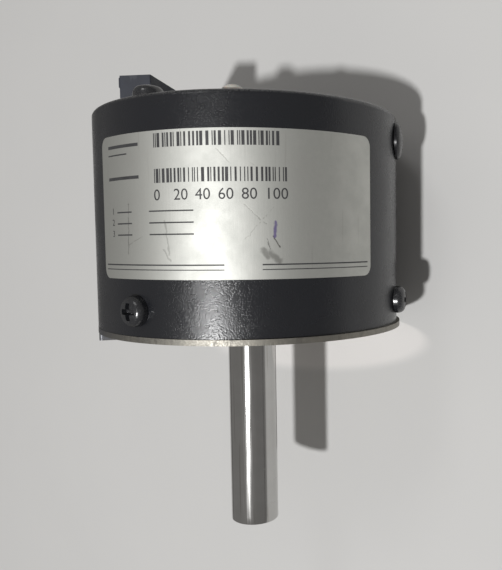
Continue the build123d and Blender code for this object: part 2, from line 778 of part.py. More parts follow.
# Plugs: the black one closes the zero hole in the side, the pale one the span hole in the top
with BuildPart() as side_plug:
    with Locations(wall_seat(side_plug_angle, side_plug_height)):
        add(domed_plug(side_plug_flange, side_plug_hole, side_plug_dome, side_plug_depth,
                       cover_wall + wall_gap))
with BuildPart() as top_plug:
    plug_x, plug_y = polar(top_plug_reach, top_plug_angle)
    with Locations(Location((plug_x, plug_y, cover_top))):
        add(domed_plug(top_plug_flange, top_plug_hole, top_plug_dome, cover_wall + cover_to_board * 0.6,
                       cover_wall + close_fit))

pieces = {
    "port_tube": port_tube, "base_plate": base_plate, "base_screws": base_screws, "posts": posts,
    "sensor_body": sensor_body, "port_baffle": port_baffle, "diaphragm": diaphragm,
    "reference_ring": reference_ring, "electrode_spacer": electrode_spacer,
    "electrode_disc": electrode_disc, "electrodes": electrodes, "disc_spring": disc_spring,
    "sensor_cap": sensor_cap, "feedthrough_eyelets": feedthrough_eyelets, "glass_seals": glass_seals,
    "contact_pins": contact_pins, "pinch_off_tube": pinch_off_tube, "getter_can": getter_can,
    "getter_pellet": getter_pellet, "lower_board": lower_board, "board_screws": board_screws,
    "standoffs": standoffs, "standoff_nut": standoff_nut, "upper_board": upper_board,
    "link_pins": link_pins, "link_strips": link_strips, "terminal_header": terminal_header,
    "terminal_pins": terminal_pins, "zero_trimmer": zero_trimmer, "span_trimmer": span_trimmer,
    "capacitors": capacitors, "regulators": regulators, "signal_chips": signal_chips,
    "bridge_transformer": bridge_transformer, "cover": cover, "board_spacers": board_spacers,
    "label": label, "side_screws": side_screws, "top_screws": top_screws, "side_plug": side_plug,
    "top_plug": top_plug,
}
os.makedirs("parts", exist_ok=True)
for name, piece in pieces.items():
    piece.part.label = name
    export_step(piece.part, f"parts/{name}.step")
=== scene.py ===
import math

import bpy
import numpy as np
from mathutils import Matrix, Vector


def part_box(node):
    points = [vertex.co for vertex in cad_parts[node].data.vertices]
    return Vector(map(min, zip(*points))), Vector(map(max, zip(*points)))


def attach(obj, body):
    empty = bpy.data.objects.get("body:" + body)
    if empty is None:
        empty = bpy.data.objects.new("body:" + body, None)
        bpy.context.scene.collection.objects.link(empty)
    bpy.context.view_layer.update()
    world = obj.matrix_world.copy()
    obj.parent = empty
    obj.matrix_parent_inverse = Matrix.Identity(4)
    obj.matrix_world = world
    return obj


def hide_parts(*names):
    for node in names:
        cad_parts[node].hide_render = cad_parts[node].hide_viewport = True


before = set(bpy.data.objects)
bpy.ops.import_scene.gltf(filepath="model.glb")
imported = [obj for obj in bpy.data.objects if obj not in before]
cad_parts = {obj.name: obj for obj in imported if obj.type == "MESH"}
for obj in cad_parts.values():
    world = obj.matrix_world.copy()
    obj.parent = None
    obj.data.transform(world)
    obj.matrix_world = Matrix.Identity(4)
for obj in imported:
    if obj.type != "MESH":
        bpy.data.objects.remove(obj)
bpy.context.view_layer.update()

# Port tube: half-inch drawn stainless tube, polished lengthwise and cut square. Its end is broken with
# a fine file, and the step near its top seats against the base plate.
tube_low, tube_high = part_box("port_tube")
tube_outer = tube_high.x
tube_inner = 0.00545
tube_spigot = 0.0060
tube_step = 0.0532
tube_edge = 0.0002
tube_turns = 256


def spun(name, profile, around):
    """Carries a closed outline (radius r, height z) round the Z axis: (r cos a, r sin a, z)."""
    outline = np.array(profile)
    turn = np.linspace(0, 2 * np.pi, around, endpoint=False)[:, None]
    points = np.stack([outline[:, 0] * np.cos(turn), outline[:, 0] * np.sin(turn),
                       np.broadcast_to(outline[:, 1], (around, len(outline)))], axis=-1)
    step, along = np.meshgrid(np.arange(around), np.arange(len(outline)), indexing="ij")
    next_step, next_along = (step + 1) % around, (along + 1) % len(outline)
    corners = [step * len(outline) + along, next_step * len(outline) + along,
               next_step * len(outline) + next_along, step * len(outline) + next_along]
    return meshed(name, points.reshape(-1, 3), np.stack(corners, axis=-1).reshape(-1, 4))


def meshed(name, points, faces, smooth_below=math.radians(30)):
    """A new object at the origin from arrays of points and of faces."""
    mesh = bpy.data.meshes.new(name)
    mesh.from_pydata(points.tolist(), [], faces.tolist())
    mesh.polygons.foreach_set("use_smooth", np.ones(len(faces), dtype=bool))
    mesh.set_sharp_from_angle(angle=smooth_below)
    piece = bpy.data.objects.new(name, mesh)
    bpy.context.scene.collection.objects.link(piece)
    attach(piece, "root")
    return piece


def add_node(tree, kind, inputs=None, **settings):
    """One shader node of this kind. Each input is a value or another node's output."""
    made = tree.nodes.new("ShaderNode" + kind)
    for name, value in settings.items():
        setattr(made, name, value)
    for place, value in (inputs or {}).items():
        if isinstance(value, bpy.types.NodeSocket):
            tree.links.new(value, made.inputs[place])
        else:
            made.inputs[place].default_value = value
    return made


def math_of(tree, operation, *values):
    """The result of one Math node."""
    return add_node(tree, "Math", dict(enumerate(values)), operation=operation).outputs[0]


def mix_of(tree, share, first, second):
    """Two colours mixed by a share."""
    return add_node(tree, "Mix", {0: share, 6: first, 7: second}, data_type="RGBA").outputs[2]


def ramp_of(tree, value, low, high, start=0.0, end=1.0):
    """A value that goes smoothly from start to end while the input goes from low to high."""
    return add_node(tree, "MapRange", {0: value, 1: low, 2: high, 3: start, 4: end},
                    interpolation_type="SMOOTHSTEP").outputs[0]


def new_group(name, inputs, outputs):
    """An empty node group. Inputs and outputs are name to socket kind."""
    group = bpy.data.node_groups.new(name, "ShaderNodeTree")
    for way, sockets in (("INPUT", inputs), ("OUTPUT", outputs)):
        for socket, kind in sockets.items():
            group.interface.new_socket(socket, in_out=way, socket_type="NodeSocket" + kind)
    source = group.nodes.new("NodeGroupInput").outputs
    return group, source, group.nodes.new("NodeGroupOutput").inputs


def use_group(tree, group, inputs):
    """The outputs of one placed group."""
    made = tree.nodes.new("ShaderNodeGroup")
    made.node_tree = group
    for place, value in inputs.items():
        if isinstance(value, bpy.types.NodeSocket):
            tree.links.new(value, made.inputs[place])
        else:
            made.inputs[place].default_value = value
    return made.outputs


def new_material(name, **constants):
    """A material, its Principled shader with the given constants, and the Object coordinates."""
    material = bpy.data.materials.new(name)
    material.use_nodes = True
    tree = material.node_tree
    shader = tree.nodes["Principled BSDF"]
    for socket, value in constants.items():
        shader.inputs[socket.replace("_", " ")].default_value = value
    place = tree.nodes.new("ShaderNodeTexCoord").outputs["Object"]
    return material, tree, shader, place


def bump(tree, shader, height, depth, strength=1.0):
    """Feeds a height from 0 to 1, times a depth in metres, to the shader's normal."""
    made = add_node(tree, "Bump", {"Height": height, "Distance": depth, "Strength": strength})
    tree.links.new(made.outputs[0], shader.inputs["Normal"])


def wear_finish(pieces, material):
    """Gives every slot of these objects the one material."""
    for piece in pieces:
        if len(piece.data.materials) == 0:
            piece.data.materials.append(material)
        for place in range(len(piece.data.materials)):
            piece.data.materials[place] = material


# Grain: soft blotches over fine grain, as any worked or moulded surface has.
grain, given, put = new_group("grain", {"Vector": "Vector", "Fine": "Float", "Coarse": "Float"},
                              {"Height": "Float", "Blotch": "Float"})
fine = add_node(grain, "TexNoise", {"Vector": given["Vector"], "Scale": given["Fine"], "Detail": 3.0,
                                    "Roughness": 0.55})
coarse = add_node(grain, "TexNoise", {"Vector": given["Vector"], "Scale": given["Coarse"], "Detail": 4.0,
                                      "Roughness": 0.6})
grain.links.new(fine.outputs[0], put["Height"])
grain.links.new(ramp_of(grain, coarse.outputs[0], 0.3, 0.7), put["Blotch"])

# Drawn lines: long thin marks along one direction, few of them deep.
drawn_lines, given, put = new_group(
    "drawn_lines", {"Vector": "Vector", "Stretch": "Vector", "Scale": "Float", "Rarity": "Float"},
    {"Lines": "Float", "Deep": "Float"})
stretched = add_node(drawn_lines, "VectorMath", {0: given["Vector"], 1: given["Stretch"]},
                     operation="MULTIPLY").outputs[0]
lines = add_node(drawn_lines, "TexNoise", {"Vector": stretched, "Scale": given["Scale"], "Detail": 3.0,
                                           "Roughness": 0.7}).outputs[0]
deep = add_node(drawn_lines, "TexNoise", {"Vector": stretched, "Scale": math_of(
    drawn_lines, "MULTIPLY", given["Scale"], 0.43), "Detail": 1.0}).outputs[0]
drawn_lines.links.new(lines, put["Lines"])
drawn_lines.links.new(ramp_of(drawn_lines, deep, given["Rarity"], math_of(
    drawn_lines, "ADD", given["Rarity"], 0.05)), put["Deep"])

tube_profile = [(tube_inner, 0.0001), (tube_inner + 0.0001, 0.0)]
tube_profile += [(tube_outer - tube_edge + tube_edge * math.sin(a), tube_edge - tube_edge * math.cos(a))
                 for a in np.linspace(0, math.pi / 2, 6)]
tube_profile += [(tube_outer, z) for z in np.linspace(0.002, tube_step, 24)]
tube_profile += [(tube_spigot, tube_step), (tube_spigot, tube_high.z), (tube_inner, tube_high.z)]
polished_tube = spun("polished_tube", tube_profile, tube_turns)
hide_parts("port_tube")

polished_steel, tree, shader, place = new_material("polished_steel", Metallic=1.0)
along = use_group(tree, drawn_lines, {"Vector": place, "Stretch": (1.0, 1.0, 0.02), "Scale": 3200.0,
                                      "Rarity": 0.66})
across = use_group(tree, drawn_lines, {"Vector": place, "Stretch": (0.16, 0.16, 1.0), "Scale": 2600.0,
                                       "Rarity": 0.71})
spots = use_group(tree, grain, {"Vector": place, "Fine": 900.0, "Coarse": 110.0})
height_up = add_node(tree, "SeparateXYZ", {0: place}).outputs[2]
handled = ramp_of(tree, height_up, 0.030, 0.004, 0.0, 1.0)
scuffs = math_of(tree, "MULTIPLY", across["Deep"], handled)
tone = mix_of(tree, math_of(tree, "MULTIPLY", spots["Blotch"], 0.5), (0.53, 0.525, 0.515, 1), (0.44, 0.435, 0.420, 1))
tone = mix_of(tree, math_of(tree, "MULTIPLY", along["Deep"], 0.45), tone, (0.30, 0.285, 0.26, 1))
tree.links.new(tone, shader.inputs["Base Color"])
rough = math_of(tree, "ADD", ramp_of(tree, along["Lines"], 0.2, 0.8, 0.08, 0.19), math_of(
    tree, "MULTIPLY", scuffs, 0.25))
tree.links.new(rough, shader.inputs["Roughness"])
bump(tree, shader, math_of(tree, "SUBTRACT", along["Lines"], scuffs), 0.0000006)
wear_finish([polished_tube], polished_steel)

# Base plate: a laser-cut stainless disc, its rim left raw, with a small lug bent down at one side.
raw_rim, tree, shader, place = new_material("raw_rim_steel", Metallic=1.0)
marks = use_group(tree, grain, {"Vector": place, "Fine": 2600.0, "Coarse": 180.0})
cut = use_group(tree, drawn_lines, {"Vector": place, "Stretch": (1.0, 1.0, 0.12), "Scale": 1500.0,
                                    "Rarity": 0.6})
sideways = add_node(tree, "SeparateXYZ", {0: place}).outputs[0]
# Painted shade: the rim's left end, past 34 mm left of the axis, is a darker bluish grey. By 16 mm left of the axis
# it goes over to the lit warm tone.
out_of_painted_shade = ramp_of(tree, sideways, -0.034, -0.016)
tone = mix_of(tree, out_of_painted_shade, (0.145, 0.150, 0.168, 1), (0.300, 0.283, 0.247, 1))
tone = mix_of(tree, math_of(tree, "MULTIPLY", marks["Blotch"], 0.6), tone, (0.230, 0.225, 0.205, 1))
tone = mix_of(tree, math_of(tree, "MULTIPLY", cut["Deep"], 0.3), tone, (0.16, 0.15, 0.14, 1))
tree.links.new(tone, shader.inputs["Base Color"])
tree.links.new(ramp_of(tree, marks["Height"], 0.3, 0.7, 0.42, 0.62), shader.inputs["Roughness"])
bump(tree, shader, math_of(tree, "ADD", marks["Height"], cut["Lines"]), 0.00003)
wear_finish([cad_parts["base_plate"]], raw_rim)

# Base screws, posts, standoffs, nut and spacers: zinc-plated steel, turned or cold-headed, with a
# slightly yellow passivated film.
plated, tree, shader, place = new_material("zinc_plate", Metallic=1.0)
marks = use_group(tree, grain, {"Vector": place, "Fine": 1800.0, "Coarse": 260.0})
turned = use_group(tree, drawn_lines, {"Vector": place, "Stretch": (0.2, 0.2, 1.0), "Scale": 2400.0,
                                       "Rarity": 0.64})
tone = mix_of(tree, marks["Blotch"], (0.62, 0.62, 0.60, 1), (0.56, 0.52, 0.42, 1))
tree.links.new(mix_of(tree, math_of(tree, "MULTIPLY", turned["Deep"], 0.5), tone, (0.3, 0.29, 0.27, 1)),
               shader.inputs["Base Color"])
tree.links.new(ramp_of(tree, marks["Height"], 0.3, 0.7, 0.26, 0.42), shader.inputs["Roughness"])
bump(tree, shader, turned["Lines"], 0.00001)
wear_finish([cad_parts[node] for node in
             ("base_screws", "posts", "board_screws", "standoffs", "standoff_nut", "board_spacers")], plated)

# Sensor metal parts: turned nickel alloy, welded at their rims, with fine turning marks round the axis.
alloy, tree, shader, place = new_material("turned_alloy", Metallic=1.0)
axis_distance = add_node(tree, "VectorMath", {0: place, 1: (1.0, 1.0, 0.0)}, operation="MULTIPLY").outputs[0]
reach = add_node(tree, "VectorMath", {0: axis_distance}, operation="LENGTH").outputs["Value"]
rings = add_node(tree, "CombineXYZ", {0: reach, 2: add_node(tree, "SeparateXYZ", {0: place}).outputs[2]})
turned = use_group(tree, drawn_lines, {"Vector": rings.outputs[0], "Stretch": (1.0, 1.0, 1.0),
                                       "Scale": 4200.0, "Rarity": 0.62})
marks = use_group(tree, grain, {"Vector": place, "Fine": 1500.0, "Coarse": 140.0})
tone = mix_of(tree, marks["Blotch"], (0.60, 0.595, 0.58, 1), (0.50, 0.485, 0.46, 1))
tree.links.new(mix_of(tree, math_of(tree, "MULTIPLY", turned["Deep"], 0.4), tone, (0.3, 0.29, 0.28, 1)),
               shader.inputs["Base Color"])
tree.links.new(ramp_of(tree, turned["Lines"], 0.3, 0.7, 0.22, 0.38), shader.inputs["Roughness"])
bump(tree, shader, turned["Lines"], 0.000006)
wear_finish([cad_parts[node] for node in
             ("sensor_body", "port_baffle", "diaphragm", "reference_ring", "electrode_spacer", "disc_spring",
              "sensor_cap", "feedthrough_eyelets", "getter_can")], alloy)


def plain_finish(name, light, dark, rough_low, rough_high, fine, coarse, depth, metallic=0.0, **constants):
    """A material of two tones in blotches with a fine grain in its gloss and its surface."""
    material, tree, shader, place = new_material(name, Metallic=metallic, **constants)
    marks = use_group(tree, grain, {"Vector": place, "Fine": fine, "Coarse": coarse})
    tree.links.new(mix_of(tree, marks["Blotch"], (*light, 1), (*dark, 1)), shader.inputs["Base Color"])
    tree.links.new(ramp_of(tree, marks["Height"], 0.3, 0.7, rough_low, rough_high), shader.inputs["Roughness"])
    bump(tree, shader, marks["Height"], depth)
    return material


# Electrode disc, electrodes, seals, pins, pinch-off tube and getter: fired alumina with a noble-metal
# film, fused glass beads, tinned pins, soft copper and a sintered pellet.
for nodes, finish in (
        (("electrode_disc",), plain_finish("fired_alumina", (0.86, 0.85, 0.81), (0.78, 0.76, 0.71),
                                           0.5, 0.7, 2600.0, 150.0, 0.00002)),
        (("electrodes",), plain_finish("fired_film", (0.72, 0.70, 0.66), (0.60, 0.57, 0.52),
                                       0.35, 0.5, 2400.0, 200.0, 0.00001, 1.0)),
        (("glass_seals",), plain_finish("seal_glass", (0.30, 0.40, 0.37), (0.20, 0.30, 0.28),
                                        0.06, 0.16, 1400.0, 500.0, 0.00001)),
        (("contact_pins", "terminal_pins", "link_pins"),
         plain_finish("tinned_pin", (0.72, 0.71, 0.68), (0.60, 0.57, 0.48), 0.24, 0.38, 2200.0, 400.0,
                      0.00001, 1.0)),
        (("pinch_off_tube",), plain_finish("soft_copper", (0.80, 0.45, 0.30), (0.55, 0.28, 0.18),
                                           0.26, 0.42, 1600.0, 300.0, 0.00002, 1.0)),
        (("getter_pellet",), plain_finish("sintered_pellet", (0.22, 0.21, 0.20), (0.12, 0.11, 0.11),
                                          0.7, 0.9, 3200.0, 700.0, 0.0001, 0.4))):
    wear_finish([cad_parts[node] for node in nodes], finish)

# Circuit boards and what they carry: glass-fibre board under green mask, sleeved capacitors, moulded
# packages, a ground ferrite core and two blue trimmers.
for nodes, finish in (
        (("lower_board", "upper_board"), plain_finish("solder_mask", (0.020, 0.115, 0.050),
                                                      (0.012, 0.080, 0.034), 0.28, 0.42, 3000.0, 240.0,
                                                      0.00002)),
        (("capacitors",), plain_finish("shrink_sleeve", (0.016, 0.022, 0.070), (0.010, 0.014, 0.045),
                                       0.22, 0.34, 1200.0, 200.0, 0.00002)),
        (("regulators", "signal_chips", "link_strips"),
         plain_finish("moulded_epoxy", (0.022, 0.022, 0.023), (0.014, 0.014, 0.015), 0.5, 0.68, 4000.0,
                      300.0, 0.00002)),
        (("bridge_transformer",), plain_finish("ground_ferrite", (0.085, 0.082, 0.080),
                                               (0.055, 0.052, 0.050), 0.55, 0.75, 2600.0, 220.0, 0.00003)),
        (("zero_trimmer", "span_trimmer"), plain_finish("trimmer_case", (0.020, 0.11, 0.38),
                                                        (0.014, 0.08, 0.30), 0.3, 0.45, 2200.0, 260.0,
                                                        0.00002))):
    wear_finish([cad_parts[node] for node in nodes], finish)

# Terminal header: a moulded shroud of dark glass-filled nylon, open at its top, with a latch rib along
# its outer side. Its faces have the mould's spark texture and show a grey bloom.
nylon, tree, shader, place = new_material("dark_nylon", IOR=1.5)
marks = use_group(tree, grain, {"Vector": place, "Fine": 3400.0, "Coarse": 210.0})
flow = use_group(tree, drawn_lines, {"Vector": place, "Stretch": (1.0, 0.1, 0.4), "Scale": 1400.0,
                                     "Rarity": 0.62})
tone = mix_of(tree, marks["Blotch"], (0.027, 0.031, 0.046, 1), (0.019, 0.022, 0.032, 1))
tree.links.new(mix_of(tree, math_of(tree, "MULTIPLY", flow["Deep"], 0.4), tone, (0.070, 0.075, 0.086, 1)),
               shader.inputs["Base Color"])
tree.links.new(ramp_of(tree, marks["Height"], 0.3, 0.7, 0.42, 0.62), shader.inputs["Roughness"])
bump(tree, shader, marks["Height"], 0.00004)
wear_finish([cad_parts["terminal_header"]], nylon)

# Cover: a deep-drawn steel can in fine-textured black powder coat, semi-gloss. A thin grainy line along its top rim
# is a painted highlight, where light catches the rounded edge.
cover_low, cover_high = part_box("cover")
cover_radius = cover_high.x
rim_reach = 0.0012
powder_coat, tree, shader, place = new_material("powder_coat", IOR=1.55)
skin = use_group(tree, grain, {"Vector": place, "Fine": 3800.0, "Coarse": 90.0})
dots = add_node(tree, "TexVoronoi", {"Vector": place, "Scale": 2700.0}, feature="F1").outputs["Distance"]
dents = use_group(tree, drawn_lines, {"Vector": place, "Stretch": (1.0, 1.0, 0.22), "Scale": 420.0,
                                      "Rarity": 0.72})
parts_of = add_node(tree, "SeparateXYZ", {0: place}).outputs
flat_reach = add_node(tree, "VectorMath", {0: add_node(tree, "VectorMath", {0: place, 1: (1.0, 1.0, 0.0)},
                                                       operation="MULTIPLY").outputs[0]},
                      operation="LENGTH").outputs["Value"]
on_rim = math_of(tree, "MULTIPLY",
                 ramp_of(tree, flat_reach, cover_radius - rim_reach, cover_radius - rim_reach * 0.6),
                 ramp_of(tree, parts_of[2], cover_high.z - rim_reach * 0.75, cover_high.z - rim_reach * 0.35))
# Painted highlight: the top rim's rounded edge is made lighter in grainy spots.
sheen_and_wear = math_of(tree, "MULTIPLY", on_rim, ramp_of(tree, skin["Height"], 0.40, 0.62))
tone = mix_of(tree, skin["Blotch"], (0.0112, 0.0120, 0.0150, 1), (0.0092, 0.0099, 0.0124, 1))
tone = mix_of(tree, math_of(tree, "MULTIPLY", dents["Deep"], 0.3), tone, (0.055, 0.055, 0.056, 1))
tone = mix_of(tree, math_of(tree, "MULTIPLY", sheen_and_wear, 0.55), tone, (0.14, 0.14, 0.14, 1))
tree.links.new(tone, shader.inputs["Base Color"])
tree.links.new(ramp_of(tree, skin["Blotch"], 0.0, 1.0, 0.24, 0.30), shader.inputs["Roughness"])
bump(tree, shader, math_of(tree, "ADD", skin["Height"], ramp_of(tree, dots, 0.0, 0.6)), 0.000024)
wear_finish([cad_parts["cover"]], powder_coat)

# Label: a satin aluminium foil plate with rounded corners, glued round the can. Its front is lightly
# scuffed, and its cut edge is bright.
label_low, label_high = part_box("label")
label_angle = math.radians(-82.6)
label_width = 0.0704
label_height = label_high.z - label_low.z
label_corner = 0.0023
label_front = 0.03915
label_back = 0.03902
label_columns = 160


def wrapped(along, up, reach):
    """Bends flat places onto the can: the angle is along / can radius, the height is up from the label's foot."""
    angle = label_angle + along / cover_radius
    return np.stack([reach * np.cos(angle), reach * np.sin(angle),
                     np.broadcast_to(label_low.z + up, angle.shape)], axis=-1)


# The label's half width at a height shrinks near its ends by a quarter circle:
# half width - corner + sqrt(corner^2 - (corner - distance to the nearer end)^2).
curl = label_corner * (1 - np.cos(np.linspace(0, math.pi / 2, 9)))
heights = np.concatenate([curl, np.linspace(label_corner, label_height - label_corner, 40)[1:-1],
                          label_height - curl[::-1]])
to_end = np.minimum(np.minimum(heights, label_height - heights), label_corner)
half_width = label_width / 2 - label_corner + np.sqrt(label_corner ** 2 - (label_corner - to_end) ** 2)
across_flat = np.linspace(-1, 1, label_columns + 1)[None, :] * half_width[:, None]
front = wrapped(across_flat, heights[:, None], label_front)
back = wrapped(across_flat, heights[:, None], label_back)
rows, columns = across_flat.shape
index = np.arange(rows * columns).reshape(rows, columns)
face = np.stack([index[:-1, :-1], index[:-1, 1:], index[1:, 1:], index[1:, :-1]], axis=-1).reshape(-1, 4)
rim = np.concatenate([index[0, :-1], index[:-1, -1], index[-1, :0:-1], index[:0:-1, 0]])
rim_faces = np.stack([rim, rim + rows * columns, np.roll(rim, -1) + rows * columns, np.roll(rim, -1)], axis=-1)
foil_label = meshed("foil_label", np.concatenate([front.reshape(-1, 3), back.reshape(-1, 3)]),
                    np.concatenate([face, face[:, ::-1] + rows * columns, rim_faces]), math.radians(40))
flat_places = np.tile(np.stack([across_flat, np.broadcast_to(heights[:, None], across_flat.shape)],
                               axis=-1).reshape(-1, 2), (2, 1)) * 1000
corner_of = np.empty(len(foil_label.data.loops), dtype=int)
foil_label.data.loops.foreach_get("vertex_index", corner_of)
foil_label.data.uv_layers.new(name="flat").data.foreach_set("uv", flat_places[corner_of].ravel())
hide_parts("label")

# Stroke: one straight mark between two places on the label, in its own millimetres.
stroke, given, put = new_group("stroke", {"Vector": "Vector", "From": "Vector", "To": "Vector",
                                          "Width": "Float"}, {"Mask": "Float"})
run = add_node(stroke, "VectorMath", {0: given["To"], 1: given["From"]}, operation="SUBTRACT").outputs[0]
offset = add_node(stroke, "VectorMath", {0: given["Vector"], 1: given["From"]}, operation="SUBTRACT").outputs[0]
dot = add_node(stroke, "VectorMath", {0: offset, 1: run}, operation="DOT_PRODUCT").outputs["Value"]
length = add_node(stroke, "VectorMath", {0: run, 1: run}, operation="DOT_PRODUCT").outputs["Value"]
share = add_node(stroke, "Math", {0: dot, 1: length}, operation="DIVIDE", use_clamp=True).outputs[0]
nearest = add_node(stroke, "VectorMath", {0: run, "Scale": share}, operation="SCALE").outputs[0]
away = add_node(stroke, "VectorMath", {0: offset, 1: nearest}, operation="DISTANCE").outputs["Value"]
stroke.links.new(ramp_of(stroke, away, math_of(stroke, "MULTIPLY", given["Width"], 0.25), given["Width"],
                         1.0, 0.0), put["Mask"])

satin_foil, tree, shader, place = new_material("satin_foil", Metallic=1.0)
flat = add_node(tree, "UVMap", uv_map="flat").outputs[0]
rolled = use_group(tree, drawn_lines, {"Vector": flat, "Stretch": (1.0, 0.05, 1.0), "Scale": 2.4,
                                       "Rarity": 0.70})
satin = use_group(tree, grain, {"Vector": flat, "Fine": 6.0, "Coarse": 0.16})
wobble = add_node(tree, "TexNoise", {"Vector": flat, "Scale": 0.9, "Detail": 3.0}).outputs["Color"]
wobble = add_node(tree, "VectorMath", {0: wobble, 1: (0.5, 0.5, 0.5)}, operation="SUBTRACT").outputs[0]
shaky = add_node(tree, "VectorMath", {0: flat, 1: add_node(
    tree, "VectorMath", {0: wobble, "Scale": 0.9}, operation="SCALE").outputs[0]}, operation="ADD").outputs[0]


def strokes(marks):
    """The strongest of several strokes, each (x1, y1, x2, y2, width, strength)."""
    total = None
    for x1, y1, x2, y2, width, strength in marks:
        mask = use_group(tree, stroke, {"Vector": shaky, "From": (x1, y1, 0), "To": (x2, y2, 0),
                                        "Width": width})["Mask"]
        mask = math_of(tree, "MULTIPLY", mask, strength)
        total = mask if total is None else math_of(tree, "MAXIMUM", total, mask)
    return total


bright_marks = strokes([(3.4, 15.9, 8.0, 11.6, 0.16, 0.8), (9.7, 15.4, 3.5, 8.6, 0.14, 0.6),
                        (-2.2, 27.6, 0.4, 24.6, 0.16, 0.7), (4.6, 24.9, 6.2, 23.6, 0.12, 0.5)])
dark_marks = strokes([(-24.4, 16.6, -24.9, 5.4, 0.22, 0.45), (-24.6, 7.6, -20.4, 9.3, 0.16, 0.35),
                      (-14.2, 12.6, -13.2, 5.2, 0.3, 0.3), (-14.6, 6.4, -13.0, 4.0, 0.3, 0.3),
                      (7.2, 6.3, 8.1, 4.8, 0.9, 0.5), (8.6, 5.6, 10.6, 3.9, 1.0, 0.5),
                      (9.4, 9.2, 10.7, 6.9, 0.22, 0.85), (8.1, 8.6, 8.7, 6.4, 0.18, 0.6)])
ink_marks = strokes([(9.9, 12.2, 9.7, 9.2, 0.5, 0.8)])
base = mix_of(tree, satin["Blotch"], (0.590, 0.592, 0.560, 1), (0.535, 0.540, 0.510, 1))
base = mix_of(tree, math_of(tree, "MULTIPLY", rolled["Deep"], 0.25), base, (0.42, 0.41, 0.38, 1))
base = mix_of(tree, bright_marks, base, (0.40, 0.40, 0.37, 1))
base = mix_of(tree, dark_marks, base, (0.11, 0.105, 0.095, 1))
base = mix_of(tree, ink_marks, base, (0.16, 0.12, 0.32, 1))
tree.links.new(base, shader.inputs["Base Color"])
worn = math_of(tree, "ADD", ramp_of(tree, satin["Height"], 0.3, 0.7, 0.49, 0.58),
               math_of(tree, "MULTIPLY", satin["Blotch"], 0.06))
tree.links.new(worn, shader.inputs["Roughness"])
bump(tree, shader, math_of(tree, "SUBTRACT", math_of(tree, "ADD", satin["Height"], rolled["Lines"]),
                           bright_marks), 0.000012)
wear_finish([foil_label], satin_foil)

# Label print: plain dark bars, rules and a row of scale numbers, screen printed on the foil. Every
# bar is a bent strip that stands 0.02 mm proud of the foil.
print_reach = label_front + 0.00002
strip_length = 0.0012


def printed(name, flat_points, faces):
    """Print on the label from places in its own millimetres."""
    flat_points = np.array(flat_points) / 1000
    piece = meshed(name, wrapped(flat_points[:, 0], flat_points[:, 1], print_reach), np.array(faces))
    return piece


def strips(rectangles):
    """Each rectangle (left, bottom, right, top) as a row of quads, so it follows the can's curve."""
    points, faces = [], []
    for left, bottom, right, top in rectangles:
        pieces = max(1, math.ceil((right - left) / (strip_length * 1000)))
        x = np.linspace(left, right, pieces + 1)
        first = sum(len(p) for p in points)
        points.append(np.concatenate([np.stack([x, np.full_like(x, bottom)], -1),
                                      np.stack([x, np.full_like(x, top)], -1)]))
        step = first + np.arange(pieces)
        faces.append(np.stack([step, step + 1, step + pieces + 2, step + pieces + 1], -1))
    return np.concatenate(points), np.concatenate(faces)


def bar_group(left, right, bottom, top, seed):
    """Upright bars of one to three modules with gaps of one to three modules, in a seeded order."""
    module = 0.22
    widths = np.random.default_rng(seed).integers(1, 4, 400) * module
    ends = left + np.cumsum(widths)
    ends = ends[ends < right]
    return [(a, bottom, b, top) for a, b in zip(ends[0:-1:2], ends[1::2])]


rules = bar_group(-17.2, 11.8, 28.2, 31.2, 3) + bar_group(-17.2, 12.8, 20.7, 23.7, 8)
rules += [(-31.8, 28.9, -20.9, 29.6), (-31.8, 27.3, -24.6, 27.6), (-31.8, 21.9, -20.9, 22.6),
          (-34.0, 3.0, -1.0, 3.3), (-34.0, 2.0, -1.0, 2.2), (7.0, 3.0, 34.0, 3.3), (7.0, 2.0, 34.0, 2.2)]
for row in (14.6, 12.1, 9.6):
    rules += [(-28.6, row, -23.4, row + 0.3), (-18.2, row, -7.4, row + 0.3)]
printed_rules = printed("printed_rules", *strips(rules))


def numerals(name, entries, size):
    """Numbers set from Blender's own face, flattened to a mesh and bent with the label."""
    points, faces, count = [], [], 0
    for words, left, bottom in entries:
        curve = bpy.data.curves.new(name, "FONT")
        curve.body, curve.size, curve.resolution_u = words, size, 4
        flat_text = bpy.data.objects.new(name, curve)
        mesh = bpy.data.meshes.new_from_object(flat_text)
        spots = np.empty(len(mesh.vertices) * 3)
        mesh.vertices.foreach_get("co", spots)
        points.append(spots.reshape(-1, 3)[:, :2] + (left, bottom))
        mesh.calc_loop_triangles()
        corners = np.empty(len(mesh.loop_triangles) * 3, dtype=int)
        mesh.loop_triangles.foreach_get("vertices", corners)
        faces.append(corners.reshape(-1, 3) + count)
        count += len(mesh.vertices)
        bpy.data.objects.remove(flat_text)
        bpy.data.meshes.remove(mesh)
    return printed(name, np.concatenate(points), np.concatenate(faces))


scale_numbers = numerals("scale_numbers", [(str(20 * n), -16.8 + 4.9 * n, 17.0) for n in range(6)], 3.4)
row_numbers = numerals("row_numbers", [(str(n + 1), -30.8, 14.4 - 2.5 * n) for n in range(3)], 2.0)
print_ink = plain_finish("print_ink", (0.030, 0.030, 0.032), (0.050, 0.050, 0.052), 0.45, 0.65, 3000.0, 260.0,
                         0.00001)
wear_finish([printed_rules, scale_numbers, row_numbers], print_ink)

